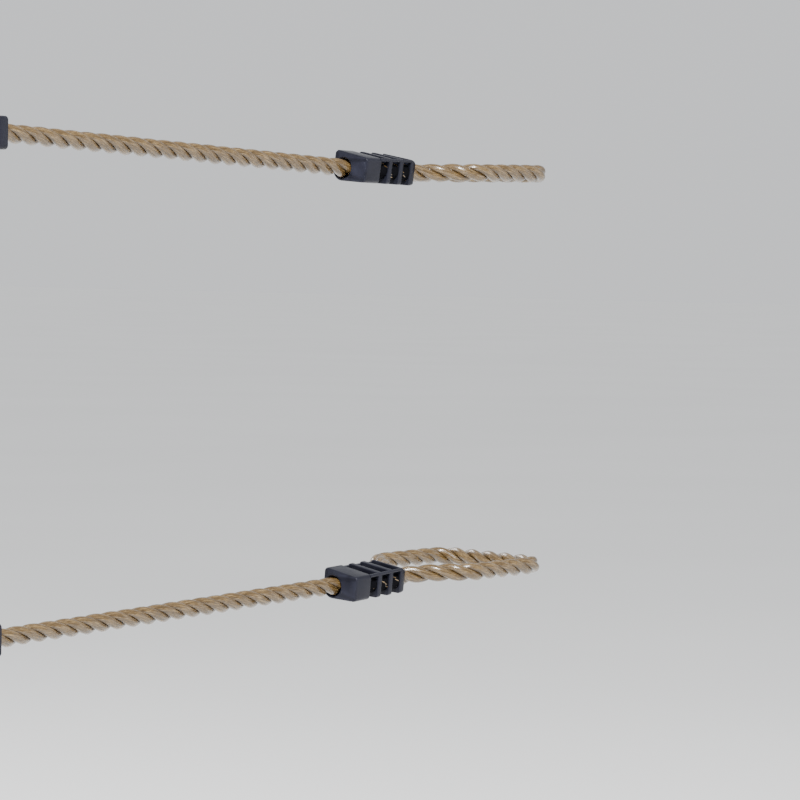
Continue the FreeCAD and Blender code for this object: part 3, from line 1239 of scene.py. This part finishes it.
@dataclass
class RowRopes:
    """The row ropes between the clamps, in pieces that each run across one pivot."""

    rope: LaidRope
    layout: NetLayout
    bend: float = 13.0 * MM
    inside: float = 20.0 * MM

    def build(self, row: Row) -> list[bpy.types.Object]:
        """Lay one row from the right-hand clamp to the left-hand one.

        Args:
            row: The row.

        Returns:
            Its six pieces.
        """
        right_post, right_grid = self.layout.leg_ends(row, Side.RIGHT)
        left_post, left_grid = self.layout.leg_ends(row, Side.LEFT)
        level = self.layout.level(row)
        down_leg = (right_post - right_grid).normalized()
        down_left = (left_post - left_grid).normalized()
        split_right = right_grid + down_leg * self.bend
        split_left = left_post - down_left * self.bend
        column = [Vector((self.layout.column(k).x, 0.0, level)) for k in (1, 2, 3, 4)]
        start = right_post + down_leg * (self.inside + self.bend)
        finish = left_post + down_left * (self.inside + self.bend)
        anchors, legs, bay_1 = Body.ANCHORS, Body.RIGHT_LEGS, Body.BAY_1
        middle, bay_3, left_legs = Body.MIDDLE, Body.BAY_3, Body.LEFT_LEGS
        stretches = (
            ([start, split_right], right_post, anchors, legs, f"right_leg_rope_{row.value}"),
            ([split_right, right_grid, column[0]], right_grid, legs, bay_1,
             f"row_rope_{row.value}_1"),
            ([column[0], column[2]], self.on_row("middle_swing", level), bay_1, middle,
             f"row_rope_{row.value}_2"),
            ([column[2], column[3]], self.on_row("bay_3_swing", level), middle, bay_3,
             f"row_rope_{row.value}_3"),
            ([column[3], left_grid, split_left], left_grid, bay_3, left_legs,
             f"left_leg_rope_{row.value}"),
            ([split_left, finish], left_post, left_legs, Body.LEFT_TAILS, "left_rope_tails"),
        )
        pieces, along = [], 0.0
        for number, (route, pivot, first, second, node) in enumerate(stretches, start=1):
            name = f"row_{row.value}_rope_{number}"
            smooth = self.with_middles(route)
            piece = self.rope.build(name, smooth, Vector((0.0, 1.0, 0.0)), along)
            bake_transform(piece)
            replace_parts(piece, node)
            line = self.rope.centreline(name, smooth)
            along += sum((b - a).length for a, b in zip(line, line[1:]))
            pieces.append(piece)
        return pieces

    def on_row(self, joint: str, level: float) -> Vector:
        """The point where a joint's axis crosses a row."""
        return Vector((self.layout.pivot(joint), 0.0, level))

    @staticmethod
    def with_middles(route: Sequence[Vector]) -> list[Vector]:
        """A route with a point put halfway along each of its runs.

        Args:
            route: The route's points.

        Returns:
            The points and the middles between them, in order.
        """
        points = [route[0]]
        for before, after in zip(route, route[1:]):
            points += [before.lerp(after, 0.5), after]
        return points


@dataclass
class PostLoops:
    """The loops that the row ropes' ends make round the posts."""

    rope: LaidRope
    layout: NetLayout
    face: float = 41.0 * MM
    near_x: float = 34.0 * MM
    corner_run: float = 28.0 * MM
    clamp_half: float = 27.0 * MM
    exit_lead: float = 7.0 * MM
    returned: float = 15.0 * MM
    straight: float = 12.0 * MM
    leg_bend: float = 0.45
    channel_pitch: float = 12.6 * MM

    def build(self, row: Row, side: Side) -> bpy.types.Object:
        """Lay one loop from its clamp's row channel round the post to the return channel.

        Args:
            row: The row.
            side: The post.

        Returns:
            The loop.
        """
        place = self.layout.clamp_place(row, side)
        middle = self.layout.clamp_middle(row, side)
        lie = LIES[row]
        post = self.layout.post_x(side)

        def in_clamp(x: float, y: float, lift: float = 0.0) -> Vector:
            """A point in the clamp's own directions, lifted a little."""
            return place @ Vector((x, y, 0.0)) + Vector((0.0, 0.0, lift))

        def on_post(x: float, y: float) -> Vector:
            """A point of the loop's leaning plane.

            Args:
                x: Its place from the post's axis, away from the net.
                y: Its place towards the back.

            Returns:
                The point.
            """
            height = lie.rise + x * math.tan(math.radians(lie.slope))
            height += y * math.tan(math.radians(lie.lean))
            return Vector((post + side.value * x, y, middle.z + height))

        face, run = self.face, self.corner_run
        lead, back = self.clamp_half + self.exit_lead, -self.channel_pitch
        exit_x = abs(middle.x - post) - lead
        near, far = Vector((-self.near_x, -face)), Vector((-self.near_x, face))
        near_leg = near.lerp(Vector((-exit_x, back)), self.leg_bend)
        far_leg = far.lerp(Vector((-exit_x, 0.0)), self.leg_bend)
        held = lead - self.straight
        points = [
            in_clamp(0.0, 0.0), in_clamp(held, 0.0), in_clamp(lead, 0.0),
            on_post(*far_leg), on_post(*far), on_post(-self.near_x + run / 2, face),
            on_post(face - run, face), on_post(face, face), on_post(face, face - run),
            on_post(face, -face + run), on_post(face, -face), on_post(face - run, -face),
            on_post(-self.near_x + run / 2, -face), on_post(*near), on_post(*near_leg),
            in_clamp(lead, back, lie.lift), in_clamp(held, back),
            in_clamp(0.0, back), in_clamp(-self.returned, back),
        ]
        name = f"{side.word}_loop_{row.value}"
        piece = self.rope.build("laid_" + name, points, Vector((0.0, 0.0, 1.0)))
        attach(piece, Body.ANCHORS.value)
        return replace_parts(piece, name)


@dataclass
class ColumnRopes:
    """The ropes down the grid, behind the rows."""

    rope: LaidRope
    layout: NetLayout

    def build(self, number: int, body: Body) -> bpy.types.Object:
        """Lay one column.

        Args:
            number: The column, counted from the right.
            body: The frame's body that it rides on.

        Returns:
            The rope.
        """
        low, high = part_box(f"column_rope_{number}")
        middle = self.layout.column(number)
        route = [Vector((middle.x, middle.y, z)) for z in (high.z, middle.z, low.z)]
        piece = self.rope.build(f"column_{number}_rope", route, Vector((0.0, 1.0, 0.0)))
        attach(piece, body.value)
        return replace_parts(piece, f"column_rope_{number}")


# ---- the studio ----------------------------------------------------------------------------


@dataclass
class Studio:
    """The floor, the lights and the camera."""

    floor_gap: float = 0.16
    floor_side: float = 120.0
    sky: float = 1.0
    sky_rise: float = 0.15
    azimuth: float = -51.75
    elevation: float = 1.971
    roll: float = 0.93
    distance: float = 2.7318
    aim: tuple[float, float, float] = (-0.0624, -0.0003, -0.41665)
    lens: float = 184.56
    sensor: float = 36.0
    clip: tuple[float, float] = (0.05, 200.0)
    sky_colour: tuple[float, float, float, float] = (0.96, 0.975, 1.0, 1.0)

    def build(self) -> None:
        """Set the stage."""
        self.add_floor()
        self.add_world()
        self.add_light("key", (-2.5, -2.0, 2.9), 0.36, 480.0)
        self.add_light("fill", (2.6, -3.0, 0.6), 2.4, 30.0)
        self.add_light("rim", (0.6, 2.8, 1.9), 1.2, 60.0)
        self.add_camera()

    def add_floor(self) -> None:
        """Add a wide plain floor below the net."""
        bm = bmesh.new()
        bmesh.ops.create_grid(bm, x_segments=1, y_segments=1, size=self.floor_side / 2)
        down = Matrix.Translation((0.0, 0.0, CAD_BOX[0].z - self.floor_gap))
        bmesh.ops.transform(bm, matrix=down, verts=bm.verts)
        mesh = bpy.data.meshes.new("floor")
        bm.to_mesh(mesh)
        bm.free()
        mesh.materials.append(FloorFinish().material())
        placed("floor", mesh)

    def add_world(self) -> None:
        """Light the scene from all round with a pale sky, as bright low down as the floor."""
        world = bpy.data.worlds.new("studio")
        world.use_nodes = True
        tree = world.node_tree
        background = tree.nodes["Background"]
        background.inputs["Color"].default_value = self.sky_colour
        direction = tree.nodes.new("ShaderNodeTexCoord")
        split = tree.nodes.new("ShaderNodeSeparateXYZ")
        tree.links.new(direction.outputs["Generated"], split.inputs["Vector"])
        strength = tree.nodes.new("ShaderNodeMapRange")
        tree.links.new(split.outputs["Z"], strength.inputs["Value"])
        strength.inputs["To Min"].default_value = self.sky * (1.0 - self.sky_rise)
        strength.inputs["To Max"].default_value = self.sky
        tree.links.new(strength.outputs["Result"], background.inputs["Strength"])
        bpy.context.scene.world = world

    def add_light(
        self, name: str, place: tuple[float, float, float], size: float, power: float
    ) -> None:
        """Add a soft square lamp that faces the right-hand end of the net.

        Args:
            name: The lamp's name.
            place: Where it stands, from the point that the camera looks at.
            size: The side of the lamp.
            power: Its power in watts.
        """
        light = bpy.data.lights.new(name, "AREA")
        light.size, light.energy = size, power
        lamp = bpy.data.objects.new(name, light)
        lamp.location = Vector(self.aim) + Vector(place)
        lamp.rotation_euler = (-Vector(place)).to_track_quat("-Z", "Y").to_euler()
        lamp.visible_camera = False
        bpy.context.scene.collection.objects.link(lamp)

    def add_camera(self) -> None:
        """Add the camera: before the net, past its left-hand post, just below the upper row."""
        azimuth, elevation = math.radians(self.azimuth), math.radians(self.elevation)
        back = Vector((math.sin(azimuth) * math.cos(elevation),
                       -math.cos(azimuth) * math.cos(elevation), math.sin(elevation)))
        right = Vector((math.cos(azimuth), math.sin(azimuth), 0.0))
        up = back.cross(right)
        turn = Matrix((right, up, back)).transposed()
        turn = turn @ Matrix.Rotation(math.radians(self.roll), 3, "Z")
        data = bpy.data.cameras.new("camera")
        data.lens, data.sensor_width = self.lens, self.sensor
        data.dof.use_dof = False
        data.clip_start, data.clip_end = self.clip
        camera = bpy.data.objects.new("camera", data)
        place = Vector(self.aim) + back * self.distance
        camera.matrix_world = Matrix.Translation(place) @ turn.to_4x4()
        bpy.context.scene.collection.objects.link(camera)
        bpy.context.scene.camera = camera


# ---- assembly ------------------------------------------------------------------------------

COLUMN_BODIES = {1: Body.BAY_1, 2: Body.MIDDLE, 3: Body.MIDDLE, 4: Body.BAY_3}


def report(pieces: Iterable[bpy.types.Object]) -> None:
    """Log each piece's name and size.

    Args:
        pieces: The finished pieces.
    """
    for piece in pieces:
        log.info("%s: %d faces, %.0f mm long", piece.name, len(piece.data.polygons),
                 max(piece.dimensions) / MM)


def main() -> None:
    """Build the studio and the net, piece by piece."""
    logging.basicConfig(level=logging.INFO, format="%(name)s %(message)s")
    Studio().build()
    layout = NetLayout()
    rope = LaidRope(material=RopeFinish().material())
    # painted shade: a darker, duller copy of the plastic for the inner parts, so that the slots
    # and mouths look black
    inside = PlasticFinish(
        name="matt_plastic", body=(0.0012, 0.0012, 0.0018), rubbed=(0.003, 0.003, 0.004),
        roughness=0.75, shine=0.03,
    )
    plastic = (PlasticFinish().material(), inside.material())

    rows, loops = RowRopes(rope, layout), PostLoops(rope, layout)
    clamp = RopeClamp(finishes=plastic)
    clamp.build()
    for row in Row:
        report(rows.build(row))
        for side in Side:
            name = f"{side.word}_clamp_{row.value}"
            moulded = clamp.piece("moulded_" + name, layout.clamp_place(row, side))
            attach(moulded, Body.ANCHORS.value)
            report([loops.build(row, side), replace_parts(moulded, name)])

    columns, blocks = ColumnRopes(rope, layout), CrossBlock()
    shapes = {row: blocks.build(row is not Row.TOP, row is not Row.BOTTOM) for row in Row}
    for number, body in COLUMN_BODIES.items():
        report([columns.build(number, body)])
        for row in Row:
            name = f"cross_block_{row.value}_{number}"
            middle = Vector((layout.column(number).x, 0.0, layout.level(row)))
            block = shapes[row].object("moulded_" + name, Matrix.Translation(middle),
                                       plastic, "block_plastic")
            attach(block, body.value)
            report([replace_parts(block, name)])


if __name__ == "__main__":
    main()
